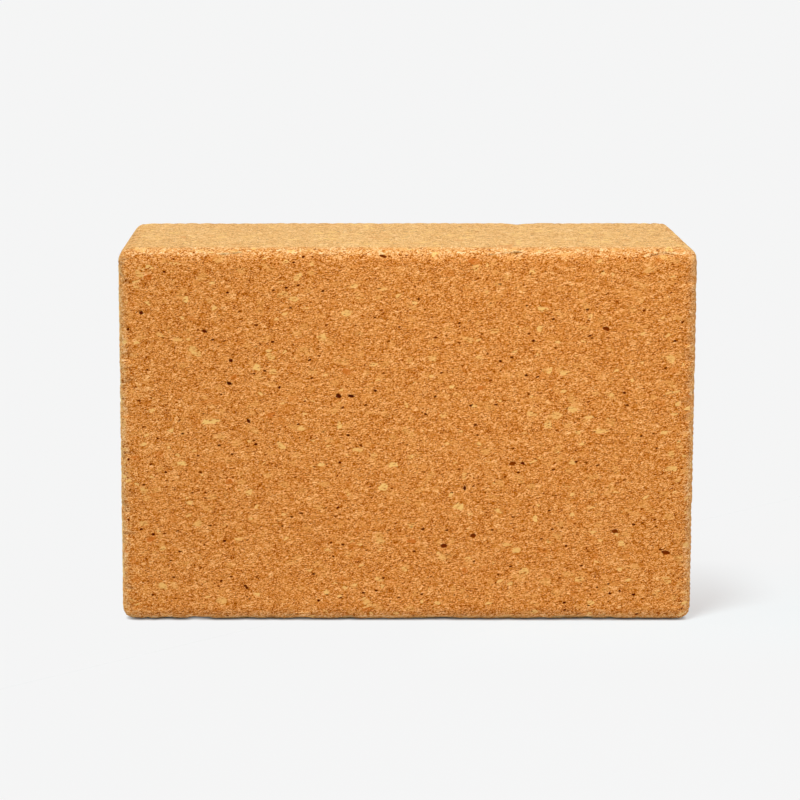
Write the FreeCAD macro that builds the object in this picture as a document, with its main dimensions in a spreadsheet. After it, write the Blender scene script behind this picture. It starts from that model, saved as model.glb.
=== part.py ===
"""Cork yoga block, modelled as the one solid piece that it is.

Cork granules and a binder are pressed into one billet. The billet is sawn to
size and every edge is rounded over, so the block has no seam, insert or joint.
It stands on a long narrow face: +X runs along its length, +Y from front to
back and +Z up, from the middle of the face it stands on. Sizes are in
millimetres.
"""
import FreeCAD, Part
import os
import Sketcher

# Driving sizes of the block: name, millimetres, what the size is
BLOCK_SIZES = [
    ("block_length", 228.0, "left end to right end"),
    ("block_depth", 100.0, "front face to back face, the thickness a hand grips"),
    ("block_height", 150.0, "base to top as it stands"),
    ("edge_radius", 5.0, "round on every edge and corner"),
]


def fill_size_sheet(doc):
    """Write the driving sizes to a sheet, one row each, with the size's name as its alias."""
    sheet = doc.addObject("Spreadsheet::Sheet", "Sizes")
    for row, (name, millimetres, meaning) in enumerate(BLOCK_SIZES, start=1):
        sheet.set(f"A{row}", name)
        sheet.set(f"B{row}", str(millimetres))
        sheet.set(f"C{row}", meaning)
        sheet.setAlias(f"B{row}", name)
    doc.recompute()
    return sheet


def origin_plane(body, role):
    """Find one of the body's own origin planes."""
    return next(plane for plane in body.Origin.OriginFeatures if plane.Role == role)


def sketch_footprint(body, sheet):
    """Draw the rectangle that the block covers, centred on the origin."""
    sketch = body.newObject("Sketcher::SketchObject", "Footprint")
    sketch.AttachmentSupport = (origin_plane(body, "XY_Plane"), [""])
    sketch.MapMode = "FlatFace"

    half_length = sheet.block_length / 2
    half_depth = sheet.block_depth / 2
    corners = [
        FreeCAD.Vector(-half_length, -half_depth, 0),
        FreeCAD.Vector(half_length, -half_depth, 0),
        FreeCAD.Vector(half_length, half_depth, 0),
        FreeCAD.Vector(-half_length, half_depth, 0),
    ]
    following_corners = corners[1:] + corners[:1]
    sides = [Part.LineSegment(start, end) for start, end in zip(corners, following_corners)]
    front, right, back, left = sketch.addGeometry(sides, False)

    for side, following in ((front, right), (right, back), (back, left), (left, front)):
        sketch.addConstraint(Sketcher.Constraint("Coincident", side, 2, following, 1))
    for side in (front, back):
        sketch.addConstraint(Sketcher.Constraint("Horizontal", side))
    for side in (right, left):
        sketch.addConstraint(Sketcher.Constraint("Vertical", side))
    sketch.addConstraint(Sketcher.Constraint("Symmetric", front, 1, back, 1, -1, 1))

    length = sketch.addConstraint(Sketcher.Constraint("DistanceX", front, 1, front, 2, sheet.block_length))
    depth = sketch.addConstraint(Sketcher.Constraint("DistanceY", right, 1, right, 2, sheet.block_depth))
    sketch.renameConstraint(length, "length")
    sketch.renameConstraint(depth, "depth")
    sketch.setExpression("Constraints.length", "Sizes.block_length")
    sketch.setExpression("Constraints.depth", "Sizes.block_depth")
    return sketch


def make_cork_block(doc, sheet):
    """Raise the footprint to the block's height and round every edge."""
    body = doc.addObject("PartDesign::Body", "CorkBlock")
    body.Label = "cork_block"

    billet = body.newObject("PartDesign::Pad", "SawnBillet")
    billet.Profile = sketch_footprint(body, sheet)
    billet.setExpression("Length", "Sizes.block_height")
    doc.recompute()

    rounded = body.newObject("PartDesign::Fillet", "RoundedEdges")
    rounded.Base = (billet, [f"Edge{number}" for number in range(1, len(billet.Shape.Edges) + 1)])
    rounded.setExpression("Radius", "Sizes.edge_radius")
    body.Tip = rounded
    doc.recompute()
    return body


def check_built(doc, pieces):
    """Stop before anything is written if a feature failed or a piece isn't a valid solid."""
    for feature in doc.Objects:
        if {"Invalid", "Error"} & set(feature.State):
            raise RuntimeError(f"{feature.Label} failed: {feature.State}")
    for piece in pieces:
        if piece.Shape.isNull() or not piece.Shape.isValid():
            raise RuntimeError(f"{piece.Label} has no valid shape")
        if len(piece.Shape.Solids) != 1:
            raise RuntimeError(f"{piece.Label} isn't one solid")


def write_pieces(pieces):
    """Write each piece to a file of its own, named by its label."""
    os.makedirs("parts", exist_ok=True)
    for piece in pieces:
        piece.Shape.exportStep(f"parts/{piece.Label}.step")
        box = piece.Shape.BoundBox
        print(f"{piece.Label}: {box.XLength:.2f} x {box.YLength:.2f} x {box.ZLength:.2f} mm, "
              f"{piece.Shape.Volume:.0f} cubic mm")


def main():
    doc = FreeCAD.newDocument("CorkYogaBlock")
    sheet = fill_size_sheet(doc)
    pieces = [make_cork_block(doc, sheet)]
    check_built(doc, pieces)
    write_pieces(pieces)


main()
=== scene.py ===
"""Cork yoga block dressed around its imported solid: pressed granules, raw cork finish, pale studio floor."""
import math
import random

import bmesh
import bpy
from mathutils import Matrix, Vector


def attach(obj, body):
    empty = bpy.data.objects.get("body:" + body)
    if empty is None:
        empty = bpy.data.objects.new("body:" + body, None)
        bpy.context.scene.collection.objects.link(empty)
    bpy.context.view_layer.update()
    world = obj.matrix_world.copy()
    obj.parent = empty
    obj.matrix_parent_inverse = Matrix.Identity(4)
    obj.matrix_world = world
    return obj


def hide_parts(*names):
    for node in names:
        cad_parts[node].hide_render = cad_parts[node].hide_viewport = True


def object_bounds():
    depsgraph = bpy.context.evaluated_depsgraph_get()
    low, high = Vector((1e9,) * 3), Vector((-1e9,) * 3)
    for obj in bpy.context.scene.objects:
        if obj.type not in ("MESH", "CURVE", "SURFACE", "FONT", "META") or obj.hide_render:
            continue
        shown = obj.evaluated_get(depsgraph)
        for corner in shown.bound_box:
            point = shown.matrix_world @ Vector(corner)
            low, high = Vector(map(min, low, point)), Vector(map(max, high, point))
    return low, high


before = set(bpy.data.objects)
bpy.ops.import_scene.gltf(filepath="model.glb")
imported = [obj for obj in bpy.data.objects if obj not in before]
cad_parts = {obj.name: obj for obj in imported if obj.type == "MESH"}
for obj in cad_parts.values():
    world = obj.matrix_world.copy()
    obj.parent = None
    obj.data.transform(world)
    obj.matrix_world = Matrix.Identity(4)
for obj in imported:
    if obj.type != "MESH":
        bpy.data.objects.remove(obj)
cad_low, cad_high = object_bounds()

BLOCK_NODE = "cork_block"
MILLIMETRE = 0.001

# Smallest step between two points that counts
HAIR = 0.01 * MILLIMETRE

BLOCK_MIDDLE = (cad_low + cad_high) / 2
BLOCK_HALF = (cad_high - cad_low) / 2

# Granules: the lattice that they grow from is closer up and down, because the billet is pressed that way
GRANULE_SEED = 11
GRANULE_PITCH = Vector((5.0, 5.0, 2.2)) * MILLIMETRE
GRANULE_SHIFT_SHARE = 0.4
MERGED_GRANULE_SHARE = 0.25
GRANULE_CORNER_PERCENT = 40.0
GROOVE_DEPTH = 0.03 * MILLIMETRE
GROOVE_DEPTH_SHARES = (0.3, 1.0)
EDGE_CRUMBLE_DEPTH = 0.03 * MILLIMETRE
ROUND_STEP = math.radians(14)
ROUNDNESS_RISE = 4.0

# Looks of a granule: lightness, tint from rust over plain to cream, how far it stands out from the crumb;
# kinds begin with their share of all
PLAIN_TINT = 0.5
CRUMB_LOOK = (0.5, PLAIN_TINT, 0.0, 1.0)
GRANULE_KINDS = {
    "cream": (0.004, 0.70, 0.95, 0.68),
    "pale": (0.016, 0.66, 0.82, 0.48),
    "tan": (0.100, 0.63, 0.58, 0.38),
    "amber": (0.026, 0.50, 0.42, 0.35),
    "rusty": (0.003, 0.45, 0.18, 0.55),
    "brown": (0.026, 0.36, 0.48, 0.30),
}
LOOK_SPREAD = 0.07
LEAST_ROUNDED_SHARE = 0.05

# Colours as seen on screen: granules that stand out most, then the crumb from its darkest to its palest tone
CREAM = (230, 179, 103)
RUST = (196, 99, 34)
CRUMB_COLOURS = [
    (0.0, (68, 13, 0)),
    (0.12, (118, 37, 0)),
    (0.25, (154, 68, 0)),
    (0.35, (175, 90, 6)),
    (0.5, (205, 121, 45)),
    (0.75, (230, 157, 88)),
    (1.0, (246, 190, 126)),
]

# Paler cork: along the rounded edges, partly wear and partly a painted highlight on the lit top edge; on the
# top, and by the same rule on the base, a painted highlight
WORN_AND_LIT_COLOURS = [
    (0.0, (130, 46, 0)),
    (0.25, (190, 103, 14)),
    (0.5, (212, 155, 86)),
    (0.75, (231, 190, 142)),
    (1.0, (244, 215, 182)),
]
WORN_AND_LIT_SHARE = 0.6
TOP_AND_BASE_HIGHLIGHT = 0.8

# Pits where a granule has fallen out: what lies deeper than the skin is inside one
PIT_SHARE = 0.0016
PIT_LENGTHS = (1.6 * MILLIMETRE, 3.5 * MILLIMETRE)
PIT_HEIGHTS = (0.8 * MILLIMETRE, 1.6 * MILLIMETRE)
PIT_TILTS = (math.radians(-40), math.radians(30))
# Pits are painted dark inside: painted shade, deeper than the shallow hole casts by itself
PIT_SHADE_LIGHTNESSES = (0.02, 0.2)
PIT_ROOM = 3.2 * MILLIMETRE
PIT_RIM = 0.15 * MILLIMETRE
PIT_WALL = 0.12 * MILLIMETRE
PIT_DEPTH = 0.45 * MILLIMETRE
SKIN_DEPTH = PIT_DEPTH / 4

# A pit stands out fully from the crumb, which no granule does
PIT_STRENGTH = 1.0
PIT_STRENGTHS_FROM = (0.8, 0.9)

# Which way a side looks: nearer to the front than this, or nearer to straight up or down than this
FRONT_TURN = -0.5
FLAT_TURN = 0.9

# Pits that stand out on the front, in pixels of the photograph: place, length and height; tilt; lightness,
# the painted shade inside the pit
FRONT_PITS = [
    ((338, 396), (9.0, 4.5), math.radians(-20), 0.05),
    ((352, 396), (8.5, 3.0), math.radians(-8), 0.03),
    ((228, 383), (7.5, 3.6), math.radians(-30), 0.02),
    ((203, 331), (6.0, 3.0), math.radians(-15), 0.08),
    ((606, 328), (11.0, 4.2), math.radians(-25), 0.16),
    ((463, 488), (6.5, 3.0), math.radians(80), 0.05),
    ((443, 546), (7.0, 5.0), math.radians(0), 0.14),
    ((614, 531), (10.0, 4.8), math.radians(-15), 0.18),
    ((665, 553), (12.0, 4.4), math.radians(-5), 0.16),
    ((513, 463), (8.0, 4.8), math.radians(0), 0.20),
    ((522, 463), (9.0, 3.2), math.radians(-35), 0.08),
    ((474, 536), (6.5, 4.8), math.radians(10), 0.16),
    ((140, 312), (5.0, 4.4), math.radians(20), 0.08),
    ((231, 361), (4.0, 4.4), math.radians(0), 0.06),
    ((247, 420), (6.5, 3.2), math.radians(-70), 0.06),
    ((384, 256), (9.0, 3.2), math.radians(-15), 0.08),
]

# Crumb that the granules lie in, all of it pressed flat: length, then height
FLAKE_SIZE = (2.4 * MILLIMETRE, 1.2 * MILLIMETRE)
BIT_SIZE = (1.25 * MILLIMETRE, 0.34 * MILLIMETRE)
DUST_SIZE = (0.38 * MILLIMETRE, 0.22 * MILLIMETRE)
SPECK_SPACING = (4.6 * MILLIMETRE, 2.6 * MILLIMETRE)
FLAKE_BEND = 1.0 * MILLIMETRE
PRESS_TILT = math.radians(10)

# What each part of the crumb adds to the tone that it begins with, from zero, darkest, to one, palest
FIRST_TONE = 0.14
TONE_SHARES = {
    "flake": 0.06,
    "pale flake": 0.14,
    "dark flake": -0.06,
    "bit": 0.10,
    "gap": -0.34,
    "crevice": -0.18,
    "glint": 0.29,
    "dust": 0.64,
    "speck": -0.70,
}

# Which flakes and bits stand out, by the draw that each has: where that begins and where it is full
PALE_FLAKES_FROM = (0.88, 0.89)
DARK_FLAKES_FROM = (0.89, 0.90)
CREAM_FLAKES_FROM = (0.990, 0.991)
CREAM_FLAKE_SHARE = 0.7
GAPS_FROM = (0.80, 0.86)
GLINTS_FROM = (0.82, 0.88)
CREVICES_FROM = (0.60, 0.50)
SPECKS_FROM = (0.55, 0.90)
BARE_BITS_FROM = (0.15, 0.40)

# Where a bit, a speck or the border of a flake ends, as shares of its cell
BIT_END_SHARES = (0.50, 0.38)
SPECK_END_SHARES = (0.18, 0.13)
CREVICE_END_SHARES = (0.10, 0.04)

# Sawn flakes are a little smoother than the crumb between them; raw cork is dull, with a soft bloom
FLAKE_ROUGHNESS = 0.80
CRUMB_ROUGHNESS = 0.95
RELIEF_STRENGTH = 0.2
RELIEF_HEIGHT = 0.1 * MILLIMETRE
GLOSS = 0.02
BLOOM_WEIGHT = 0.38
BLOOM_ROUGHNESS = 0.4
BLOOM_TINT = (1.0, 0.96, 0.47, 1)

# Sheet that the six sides are laid out on
SHEET_GAP = 2.0 * MILLIMETRE

# Camera of the photograph: an 800 pixel square cut from a wider frame, so its axis lies left of the middle
PHOTO_PIXELS = 800
AXIS_PIXEL = (337.0, 400.0)
SENSOR_WIDTH = 36.0
FOCAL_PIXELS = 2804.1
CAMERA_PLACE = Vector((-25.93, -1142.14, 276.27)) * MILLIMETRE
CAMERA_YAW = 0.0017
CAMERA_PITCH = -0.1690
CAMERA_ROLL = 0.0005
FRONT_PIXEL = (cad_low.y - CAMERA_PLACE.y) / FOCAL_PIXELS

# Studio: the floor glows, less so where the block's shadow falls, along its right foot
BACKGROUND_WHITE = 0.913
FLOOR_HALF = 200.0
FLOOR_WHITENESS = 0.605
FOOT_GLOW_SHARE = 0.65
FAR_GLOW_SHARE = 0.98
FOOT_LINE = -30.0 * MILLIMETRE
FOOT_REACH = 90.0 * MILLIMETRE
SHADOW_START = 0.0 * MILLIMETRE
SHADOW_FULL = 60.0 * MILLIMETRE
CONTACT_REACH = 1.6 * MILLIMETRE
AMBIENT_LIGHT = 0.29

# Far lamps: strength, colour, how wide the lamp looks, the way its light travels
FAR_LAMPS = {
    "key": (3.9, (0.82, 0.96, 1.0), math.radians(12), Vector((0.20, 0.27, -1.0))),
    "left": (0.25, (1.0, 1.0, 1.0), math.radians(30), Vector((1.0, 0.0, -0.15))),
    "right": (1.0, (1.0, 1.0, 1.0), math.radians(30), Vector((-1.0, 0.0, -0.15))),
}

# Near lamp in front of the block, whose light falls off towards the lower left
FILL_PLACE = Vector((48.0, -290.0, 200.0)) * MILLIMETRE
FILL_RADIUS = 80.0 * MILLIMETRE
FILL_POWER = 0.75


def photo_camera_turn():
    """Turn of the photograph's camera, from its yaw, pitch and roll."""
    level = Matrix.Rotation(math.radians(90) + CAMERA_PITCH, 3, "X")
    return Matrix.Rotation(CAMERA_YAW, 3, "Z") @ level @ Matrix.Rotation(-CAMERA_ROLL, 3, "Z")


def on_front_face(pixel):
    """Point of the block's front face that a pixel of the photograph shows."""
    right = (pixel[0] - AXIS_PIXEL[0]) / FOCAL_PIXELS
    up = (AXIS_PIXEL[1] - pixel[1]) / FOCAL_PIXELS
    ray = photo_camera_turn() @ Vector((right, up, -1))
    reach = (cad_low.y - CAMERA_PLACE.y) / ray.y
    return CAMERA_PLACE + ray * reach


def edge_radius():
    """Radius of the block's edges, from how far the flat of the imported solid's top reaches."""
    corners = [vertex.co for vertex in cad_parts[BLOCK_NODE].data.vertices]
    flat_reach = max(corner.x for corner in corners if corner.z > cad_high.z - HAIR)
    return cad_high.x - flat_reach


EDGE_RADIUS = edge_radius()


def core_point(point):
    """Nearest point of the block's inner core, which lies one edge radius below the faces."""
    core_half = BLOCK_HALF - Vector((EDGE_RADIUS,) * 3)
    inside = point - BLOCK_MIDDLE
    clamped = (max(-half, min(half, place)) for place, half in zip(inside, core_half))
    return BLOCK_MIDDLE + Vector(clamped)


def outward(point):
    """Direction straight out of the block at a point of its surface."""
    return (point - core_point(point)).normalized()


def depth_below(point):
    """How far a point lies below the block's surface."""
    return EDGE_RADIUS - (point - core_point(point)).length


def onto_surface(point):
    """Nearest point of the rounded block's surface."""
    return point + outward(point) * depth_below(point)


def roundness(point):
    """Zero on the flat sides, one in the middle of a rounded edge."""
    return min(ROUNDNESS_RISE * (1 - max(abs(part) for part in outward(point))), 1)


def lay_side(bm, axis, side):
    """Lay one flat side of the block as a grid of lattice cells."""
    across, along = [other for other in range(3) if other != axis]
    place = Matrix.Diagonal((0, 0, 0, 1))
    place[across][0] = BLOCK_HALF[across]
    place[along][1] = BLOCK_HALF[along]
    place[axis][2] = 1
    place[axis][3] = side * BLOCK_HALF[axis]
    place.translation += BLOCK_MIDDLE
    bmesh.ops.create_grid(
        bm,
        x_segments=round(2 * BLOCK_HALF[across] / GRANULE_PITCH[across]),
        y_segments=round(2 * BLOCK_HALF[along] / GRANULE_PITCH[along]),
        size=1,
        matrix=place,
    )


def seat_front_pits(bm):
    """Bring a lattice corner to every pit of the front, so that a granule grows right there."""
    seated = []
    for pixel, _, _, _ in FRONT_PITS:
        spot = onto_surface(on_front_face(pixel))
        free = (vertex for vertex in bm.verts if vertex not in seated)
        corner = min(free, key=lambda vertex: (vertex.co - spot).length_squared)
        corner.co = spot
        seated.append(corner)
    return seated


def seed_lattice(bm, rng):
    """Cover the block with an uneven lattice of triangles."""
    for axis in range(3):
        for side in (-1, 1):
            lay_side(bm, axis, side)
    bmesh.ops.remove_doubles(bm, verts=bm.verts, dist=HAIR)
    bmesh.ops.recalc_face_normals(bm, faces=bm.faces)
    for vertex in bm.verts:
        shift = Vector(rng.uniform(-1, 1) * pitch * GRANULE_SHIFT_SHARE for pitch in GRANULE_PITCH)
        vertex.co = onto_surface(vertex.co + shift)
    pit_corners = seat_front_pits(bm)
    bmesh.ops.triangulate(bm, faces=bm.faces, quad_method="BEAUTY", ngon_method="BEAUTY")
    return pit_corners


def merge_some(bm, pit_corners, rng):
    """Take out scattered lattice corners, so that some granules grow larger than others."""
    crowding = [
        edge.other_vert(corner)
        for corner in pit_corners
        for edge in corner.link_edges
        if edge.calc_length() < PIT_ROOM
    ]
    taken = [vertex for vertex in crowding if vertex not in pit_corners]
    kept = set(pit_corners)
    for vertex in taken:
        kept.update(edge.other_vert(vertex) for edge in vertex.link_edges)
    for vertex in bm.verts:
        on_round = roundness(vertex.co) > 0
        if vertex in kept or on_round or rng.random() > MERGED_GRANULE_SHARE:
            continue
        taken.append(vertex)
        kept.update(edge.other_vert(vertex) for edge in vertex.link_edges)
    taken = list(dict.fromkeys(taken))
    bmesh.ops.dissolve_verts(bm, verts=taken)
    bmesh.ops.triangulate(bm, faces=bm.faces, quad_method="BEAUTY", ngon_method="BEAUTY")


def grow_granules(bm):
    """Cut every lattice corner back, which leaves the surface as a crazy paving of granules."""
    bmesh.ops.bevel(
        bm,
        geom=bm.verts[:],
        offset=GRANULE_CORNER_PERCENT,
        offset_type="PERCENT",
        affect="VERTICES",
        segments=1,
        profile=0.5,
        material=-1,
    )


def pick_look(rng):
    """Draw a granule's look, or none where it is part of the crumb."""
    draw = rng.random()
    for share, lightness, tint, strength in GRANULE_KINDS.values():
        draw -= share
        if draw < 0:
            spread = [rng.uniform(-LOOK_SPREAD, LOOK_SPREAD) for _ in range(3)]
            return (lightness + spread[0], tint + spread[1], strength + spread[2], 1.0)
    return None


def give_looks(bm, looks, rng):
    """Give each granule its look; splinters stay part of the crumb."""
    for granule in bm.faces:
        look = pick_look(rng)
        splinter = granule.calc_area() / granule.calc_perimeter() ** 2 < LEAST_ROUNDED_SHARE
        granule[looks] = CRUMB_LOOK if look is None or splinter else look


def nearest_granule(bm, place):
    """Granule whose middle lies nearest to a place."""
    return min(bm.faces, key=lambda granule: (granule.calc_center_median() - place).length_squared)


def shape_pit(pit, size, tilt):
    """Draw a pit's rim in to an oval of one length and height, tilted from the level."""
    middle = pit.calc_center_median()
    normal = outward(middle)
    level = Vector((1, 0, 0)) if abs(normal.z) > FLAT_TURN else Vector((0, 0, 1)).cross(normal).normalized()
    upright = normal.cross(level)
    half_length, half_height = (extent / 2 for extent in size)
    for corner in pit.verts:
        offset = corner.co - middle
        turn = math.atan2(offset.dot(upright), offset.dot(level)) - tilt
        reach = 1 / math.hypot(math.cos(turn) / half_length, math.sin(turn) / half_height)
        corner.co = middle + offset * min(1, reach / offset.length)


def sink_pits(bm, looks, rng):
    """Sink the pits that the photograph shows, and scattered ones on the sides that it doesn't show."""
    pits = {}
    for pixel, size, tilt, lightness in FRONT_PITS:
        granule = nearest_granule(bm, onto_surface(on_front_face(pixel)))
        pits[granule] = (Vector(size) * FRONT_PIXEL, tilt, lightness)
    for granule in bm.faces:
        if rng.random() < PIT_SHARE and granule.normal.y > FRONT_TURN:
            size = (rng.uniform(*PIT_LENGTHS), rng.uniform(*PIT_HEIGHTS))
            pits[granule] = (size, rng.uniform(*PIT_TILTS), rng.uniform(*PIT_SHADE_LIGHTNESSES))
    bmesh.ops.inset_individual(bm, faces=list(pits), thickness=PIT_RIM, use_even_offset=True)
    for pit, (size, tilt, lightness) in pits.items():
        shape_pit(pit, size, tilt)
        # The inside of the pit is painted dark: painted shade
        pit[looks] = (lightness, PLAIN_TINT, PIT_STRENGTH, 1.0)
    bmesh.ops.inset_individual(
        bm, faces=list(pits), thickness=PIT_WALL, depth=-PIT_DEPTH, use_even_offset=True
    )


def follow_rounds(bm):
    """Split what bends round an edge of the block, so that the outline stays smooth."""
    sides = bm.edges[:]
    while sides:
        side = sides.pop()
        start, end = side.verts
        depths = [depth_below(corner.co) for corner in side.verts]
        if max(depths) < SKIN_DEPTH and outward(start.co).angle(outward(end.co)) > ROUND_STEP:
            half, middle = bmesh.utils.edge_split(side, start, 0.5)
            middle.co = onto_surface(middle.co) - outward(middle.co) * sum(depths) / 2
            sides += [side, half]


def dome_granules(bm, rng):
    """Sink the grooves between granules a little, more along the edges, where granules crumble."""
    for vertex in bm.verts:
        if depth_below(vertex.co) > SKIN_DEPTH:
            continue
        groove = GROOVE_DEPTH + EDGE_CRUMBLE_DEPTH * roundness(vertex.co)
        vertex.co -= outward(vertex.co) * groove * rng.uniform(*GROOVE_DEPTH_SHARES)
    middles = bmesh.ops.poke(bm, faces=bm.faces[:], center_mode="MEAN_WEIGHTED")["verts"]
    for middle in middles:
        if depth_below(middle.co) < SKIN_DEPTH:
            middle.co = onto_surface(middle.co) - outward(middle.co) * HAIR


def mark_wear_and_highlight(bm):
    """Note on every corner how far the cork is paler there: partly wear and partly a painted highlight along
    the rounded edges, a painted highlight on the top and the base.
    """
    wear_and_highlight = bm.verts.layers.float.new("wear_and_highlight")
    for vertex in bm.verts:
        # Painted highlight: the top, and the base by the same rule, made paler as if lit from above
        top_and_base_highlight = TOP_AND_BASE_HIGHLIGHT * abs(outward(vertex.co).z)
        vertex[wear_and_highlight] = max(roundness(vertex.co), top_and_base_highlight)


def lay_out_sheet(bm):
    """Lay the six sides flat on one square sheet, all at the same scale."""
    sheet = bm.loops.layers.uv.new("OFBake")
    length, depth, height = cad_high - cad_low
    row = height + SHEET_GAP
    column = length + SHEET_GAP
    far_column = column + depth + SHEET_GAP
    sheet_size = far_column + depth
    for face in bm.faces:
        axis = max(range(3), key=lambda direction: abs(face.normal[direction]))
        positive = face.normal[axis] > 0
        for loop in face.loops:
            x, y, z = loop.vert.co - cad_low
            if axis == 1:
                spot = (length - x, row + z) if positive else (x, z)
            elif axis == 0:
                spot = (column + y, z) if positive else (column + depth - y, row + z)
            else:
                spot = (x, 2 * row + y) if positive else (far_column + y, x)
            loop[sheet].uv = Vector(spot) / sheet_size


def make_block():
    """Build the block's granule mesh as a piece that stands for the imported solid."""
    rng = random.Random(GRANULE_SEED)
    bm = bmesh.new()
    looks = bm.faces.layers.float_color.new("granule")
    pit_corners = seed_lattice(bm, rng)
    merge_some(bm, pit_corners, rng)
    grow_granules(bm)
    give_looks(bm, looks, rng)
    sink_pits(bm, looks, rng)
    follow_rounds(bm)
    dome_granules(bm, rng)
    follow_rounds(bm)
    bmesh.ops.triangulate(bm, faces=bm.faces, quad_method="BEAUTY", ngon_method="BEAUTY")
    mark_wear_and_highlight(bm)
    lay_out_sheet(bm)
    for face in bm.faces:
        face.smooth = True
    mesh = bpy.data.meshes.new("cork_granules")
    bm.to_mesh(mesh)
    bm.free()
    block = bpy.data.objects.new("cork_granules", mesh)
    bpy.context.scene.collection.objects.link(block)
    return block


def put(tree, kind, inputs=(), **settings):
    """Add a node, set what it is told, and set or link its inputs."""
    made = tree.nodes.new(kind)
    for name, value in settings.items():
        setattr(made, name, value)
    for name, value in dict(inputs).items():
        if isinstance(value, bpy.types.NodeSocket):
            tree.links.new(value, made.inputs[name])
        else:
            made.inputs[name].default_value = value
    return made


def figure(tree, operation, first, second=0.0, third=0.0):
    """Result of one sum on two or three values."""
    return put(tree, "ShaderNodeMath", {0: first, 1: second, 2: third}, operation=operation).outputs["Value"]


def shown_colour(red, green, blue):
    """Linear colour of an 8 bit one, as it is seen on screen."""
    def linear(level):
        share = level / 255
        return share / 12.92 if share <= 0.04045 else ((share + 0.055) / 1.055) ** 2.4
    return (linear(red), linear(green), linear(blue), 1)


def ramp(tree, factor, stops):
    """Colour ramp through stops of a place and a colour as seen on screen."""
    made = put(tree, "ShaderNodeValToRGB", {"Fac": factor})
    points = made.color_ramp.elements
    while len(points) < len(stops):
        points.new(0.5)
    for point, (place, colour) in zip(points, stops):
        point.position = place
        point.color = shown_colour(*colour)
    return made.outputs["Color"]


def new_material(name):
    """Add a material with an empty node tree."""
    material = bpy.data.materials.new(name)
    material.use_nodes = True
    material.node_tree.nodes.clear()
    return material, material.node_tree


def cells(tree, place, size, feature="F1"):
    """Bits of cork in the solid, as cells of one length and height."""
    length, height = size
    pressed = put(
        tree, "ShaderNodeMapping", {"Vector": place, "Scale": (1 / length, 1 / length, 1 / height)}
    ).outputs["Vector"]
    return put(tree, "ShaderNodeTexVoronoi", {"Vector": pressed, "Scale": 1.0}, feature=feature).outputs


def draws(tree, bits):
    """Three random values for every bit."""
    parts = put(tree, "ShaderNodeSeparateColor", {"Color": bits["Color"]}).outputs
    return parts["Red"], parts["Green"], parts["Blue"]


def slope(tree, value, none, full, low=0.0, high=1.0):
    """One result up to one value, another from the other on, and a straight slope between them."""
    return put(
        tree, "ShaderNodeMapRange",
        {"Value": value, "From Min": none, "From Max": full, "To Min": low, "To Max": high},
    ).outputs["Result"]


def add_up(tree, first, parts):
    """Add parts of the crumb to a first tone, each with its share."""
    total = first
    for name, part in parts.items():
        total = figure(tree, "MULTIPLY_ADD", part, TONE_SHARES[name], total)
    return total


def crumb(tree, place):
    """Crumb's tone, its relief, its cream flakes and where it leaves granules bare."""
    pressed = put(
        tree, "ShaderNodeMapping", {"Vector": place, "Rotation": (0, PRESS_TILT, 0)}
    ).outputs["Vector"]
    bend = put(tree, "ShaderNodeTexNoise", {"Vector": pressed, "Scale": 1 / FLAKE_SIZE[0], "Detail": 1.0})
    bent = put(
        tree, "ShaderNodeVectorMath", {0: bend.outputs["Color"], 1: (FLAKE_BEND,) * 3, 2: pressed},
        operation="MULTIPLY_ADD",
    ).outputs["Vector"]
    flake_tone, flake_pale, flake_dark = draws(tree, cells(tree, bent, FLAKE_SIZE))
    flake_border = cells(tree, bent, FLAKE_SIZE, feature="DISTANCE_TO_EDGE")["Distance"]
    bits = cells(tree, bent, BIT_SIZE)
    bit_tone, bit_gap, bit_glint = draws(tree, bits)
    bit_core = slope(tree, bits["Distance"], *BIT_END_SHARES)
    dust_tone, _, _ = draws(tree, cells(tree, bent, DUST_SIZE))
    specks = cells(tree, bent, SPECK_SPACING)
    speck_depth, _, _ = draws(tree, specks)
    speck_core = slope(tree, specks["Distance"], *SPECK_END_SHARES)
    between_flakes = slope(tree, flake_border, *CREVICE_END_SHARES)

    raised = {
        "flake": flake_tone,
        "pale flake": slope(tree, flake_pale, *PALE_FLAKES_FROM),
        "dark flake": slope(tree, flake_dark, *DARK_FLAKES_FROM),
        "bit": bit_tone,
        "gap": figure(tree, "MULTIPLY", bit_core, slope(tree, bit_gap, *GAPS_FROM)),
        "crevice": figure(tree, "MULTIPLY", between_flakes, slope(tree, bit_tone, *CREVICES_FROM)),
        "glint": figure(tree, "MULTIPLY", bit_core, slope(tree, bit_glint, *GLINTS_FROM)),
    }
    flat = {
        "dust": dust_tone,
        "speck": figure(tree, "MULTIPLY", speck_core, slope(tree, speck_depth, *SPECKS_FROM)),
    }
    relief = add_up(tree, FIRST_TONE, raised)
    tone = add_up(tree, relief, flat)
    cream = figure(tree, "MULTIPLY", slope(tree, flake_pale, *CREAM_FLAKES_FROM), CREAM_FLAKE_SHARE)
    bare = slope(tree, bit_tone, *BARE_BITS_FROM)
    return tone, relief, cream, bare


def blend(tree, share, colour, other):
    """A colour with a share of another mixed in."""
    mixed = put(tree, "ShaderNodeMix", data_type="RGBA")
    tree.links.new(share, mixed.inputs["Factor"])
    tree.links.new(colour, mixed.inputs[6])
    if isinstance(other, bpy.types.NodeSocket):
        tree.links.new(other, mixed.inputs[7])
    else:
        mixed.inputs[7].default_value = other
    return mixed.outputs[2]


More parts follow.
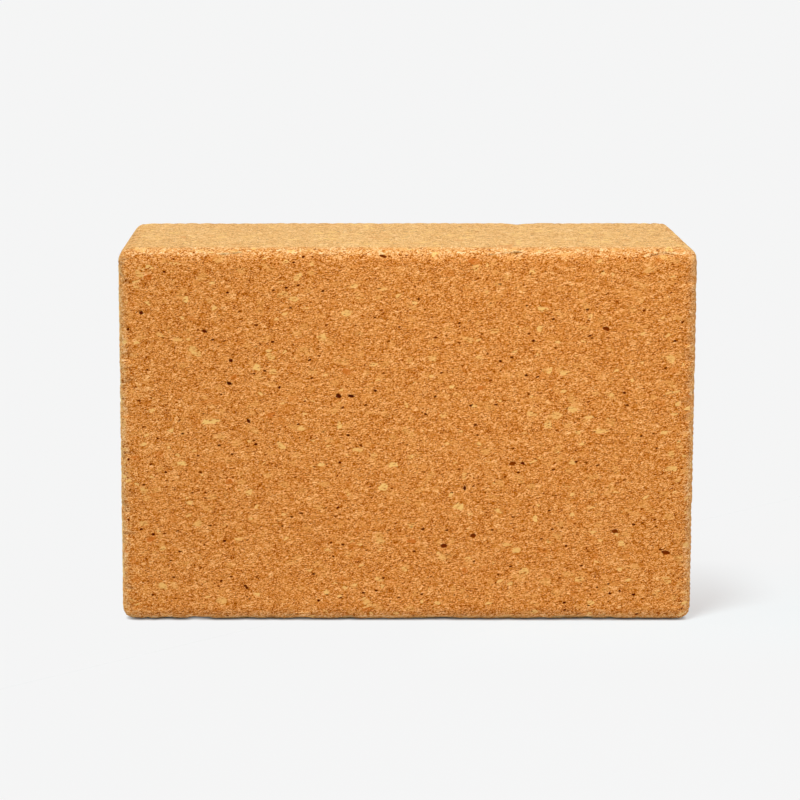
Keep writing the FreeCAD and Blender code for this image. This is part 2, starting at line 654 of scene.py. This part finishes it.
def cork_finish():
    """Raw sawn cork: crumb all over, and on it the granules that stand out."""
    material, tree = new_material("raw_cork")
    crumb_tone, relief, cream, bare = crumb(tree, put(tree, "ShaderNodeTexCoord").outputs["Object"])
    granule = put(tree, "ShaderNodeAttribute", attribute_name="granule")
    looks = put(tree, "ShaderNodeSeparateColor", {"Color": granule.outputs["Color"]})
    lightness, tint, strength = (looks.outputs[name] for name in ("Red", "Green", "Blue"))
    in_pit = slope(tree, strength, *PIT_STRENGTHS_FROM)
    strength = figure(tree, "MAXIMUM", figure(tree, "MULTIPLY", strength, bare), in_pit)
    tone = put(
        tree, "ShaderNodeMix", {"Factor": strength, "A": crumb_tone, "B": lightness}, data_type="FLOAT"
    ).outputs["Result"]
    wear_and_highlight = put(tree, "ShaderNodeAttribute", attribute_name="wear_and_highlight").outputs["Fac"]
    # Paler along the rounded edges and on the top and base: partly wear, partly painted highlight
    worn_and_lit = figure(tree, "MULTIPLY", wear_and_highlight, WORN_AND_LIT_SHARE)
    cream_granule = figure(tree, "MULTIPLY", slope(tree, tint, PLAIN_TINT, 1.0), bare)
    rust_granule = figure(tree, "MULTIPLY", slope(tree, tint, PLAIN_TINT, 0.0), bare)
    colour = blend(tree, worn_and_lit, ramp(tree, tone, CRUMB_COLOURS), ramp(tree, tone, WORN_AND_LIT_COLOURS))
    colour = blend(tree, figure(tree, "MAXIMUM", cream, cream_granule), colour, shown_colour(*CREAM))
    colour = blend(tree, rust_granule, colour, shown_colour(*RUST))
    bump = put(
        tree, "ShaderNodeBump",
        {"Height": relief, "Strength": RELIEF_STRENGTH, "Distance": RELIEF_HEIGHT},
    ).outputs["Normal"]
    cork = put(
        tree, "ShaderNodeBsdfPrincipled",
        {
            "Base Color": colour,
            "Roughness": slope(tree, relief, 0.0, 1.0, CRUMB_ROUGHNESS, FLAKE_ROUGHNESS),
            "Specular IOR Level": GLOSS,
            "Normal": bump,
            "Sheen Weight": BLOOM_WEIGHT,
            "Sheen Roughness": BLOOM_ROUGHNESS,
            "Sheen Tint": BLOOM_TINT,
        },
    )
    put(tree, "ShaderNodeOutputMaterial", {"Surface": cork.outputs["BSDF"]})
    return material


def seen_directly(tree):
    """One for rays from the camera, mirrors and glass, zero for rays that carry light to the block."""
    rays = put(tree, "ShaderNodeLightPath").outputs
    glossy = figure(tree, "MAXIMUM", rays["Is Camera Ray"], rays["Is Glossy Ray"])
    return figure(tree, "MAXIMUM", glossy, rays["Is Transmission Ray"])


def floor_finish():
    """Matt white floor that is seen mostly as a plain glow; near the foot its shadow shows through."""
    material, tree = new_material("studio_floor")
    matt = put(tree, "ShaderNodeBsdfDiffuse", {"Color": (FLOOR_WHITENESS,) * 3 + (1,)})
    glow = put(tree, "ShaderNodeEmission", {"Color": (BACKGROUND_WHITE,) * 3 + (1,)})
    place = put(tree, "ShaderNodeTexCoord").outputs["Object"]
    spot = put(tree, "ShaderNodeSeparateXYZ", {"Vector": place}).outputs
    from_foot = figure(tree, "ABSOLUTE", figure(tree, "SUBTRACT", spot["Y"], FOOT_LINE))
    unshaded = figure(
        tree, "MAXIMUM",
        slope(tree, from_foot, 0.0, FOOT_REACH), slope(tree, spot["X"], SHADOW_FULL, SHADOW_START),
    )
    glow_share = slope(tree, unshaded, 0.0, 1.0, FOOT_GLOW_SHARE, FAR_GLOW_SHARE)
    open_floor = put(tree, "ShaderNodeAmbientOcclusion", {"Distance": CONTACT_REACH}).outputs["AO"]
    open_glow = figure(tree, "MULTIPLY", open_floor, glow_share)
    seen_glow = figure(tree, "MULTIPLY", open_glow, seen_directly(tree))
    mixed = put(
        tree, "ShaderNodeMixShader",
        {0: seen_glow, 1: matt.outputs["BSDF"], 2: glow.outputs["Emission"]},
    )
    put(tree, "ShaderNodeOutputMaterial", {"Surface": mixed.outputs["Shader"]})
    return material


def lay_floor():
    """Lay the studio floor under the block."""
    bm = bmesh.new()
    bmesh.ops.create_grid(bm, x_segments=1, y_segments=1, size=FLOOR_HALF)
    bmesh.ops.translate(bm, verts=bm.verts, vec=(0, 0, cad_low.z))
    mesh = bpy.data.meshes.new("floor")
    bm.to_mesh(mesh)
    bm.free()
    floor = bpy.data.objects.new("floor", mesh)
    floor.data.materials.append(floor_finish())
    bpy.context.scene.collection.objects.link(floor)


def light_studio():
    """Even white surroundings, a key light from above, a low light on each side and a near one in front."""
    world = bpy.data.worlds.new("studio")
    bpy.context.scene.world = world
    world.use_nodes = True
    tree = world.node_tree
    tree.nodes.clear()
    ambient = put(tree, "ShaderNodeBackground", {"Color": (1, 1, 1, 1), "Strength": AMBIENT_LIGHT})
    backdrop = put(tree, "ShaderNodeBackground", {"Color": (BACKGROUND_WHITE,) * 3 + (1,), "Strength": 1.0})
    mixed = put(
        tree, "ShaderNodeMixShader",
        {0: seen_directly(tree), 1: ambient.outputs["Background"], 2: backdrop.outputs["Background"]},
    )
    put(tree, "ShaderNodeOutputWorld", {"Surface": mixed.outputs["Shader"]})

    for name, (strength, colour, width, travel) in FAR_LAMPS.items():
        light = bpy.data.lights.new(name, "SUN")
        light.energy = strength
        light.color = colour
        light.angle = width
        lamp = bpy.data.objects.new(name, light)
        lamp.rotation_euler = travel.to_track_quat("-Z", "Y").to_euler()
        bpy.context.scene.collection.objects.link(lamp)

    light = bpy.data.lights.new("fill", "POINT")
    light.energy = FILL_POWER
    light.shadow_soft_size = FILL_RADIUS
    lamp = bpy.data.objects.new("fill", light)
    lamp.location = FILL_PLACE
    lamp.visible_camera = False
    lamp.visible_glossy = False
    bpy.context.scene.collection.objects.link(lamp)


def set_camera():
    """Set up the photograph's camera."""
    camera = bpy.data.objects.new("camera", bpy.data.cameras.new("camera"))
    camera.data.sensor_width = SENSOR_WIDTH
    camera.data.lens = FOCAL_PIXELS * SENSOR_WIDTH / PHOTO_PIXELS
    camera.data.shift_x = 0.5 - AXIS_PIXEL[0] / PHOTO_PIXELS
    camera.data.shift_y = AXIS_PIXEL[1] / PHOTO_PIXELS - 0.5
    camera.data.clip_end = 2 * FLOOR_HALF
    camera.matrix_world = Matrix.Translation(CAMERA_PLACE) @ photo_camera_turn().to_4x4()
    bpy.context.scene.collection.objects.link(camera)
    bpy.context.scene.camera = camera


block = make_block()
block.data.materials.append(cork_finish())
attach(block, "root")
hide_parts(BLOCK_NODE)
lay_floor()
light_studio()
set_camera()
bpy.context.scene.view_settings.view_transform = "Standard"
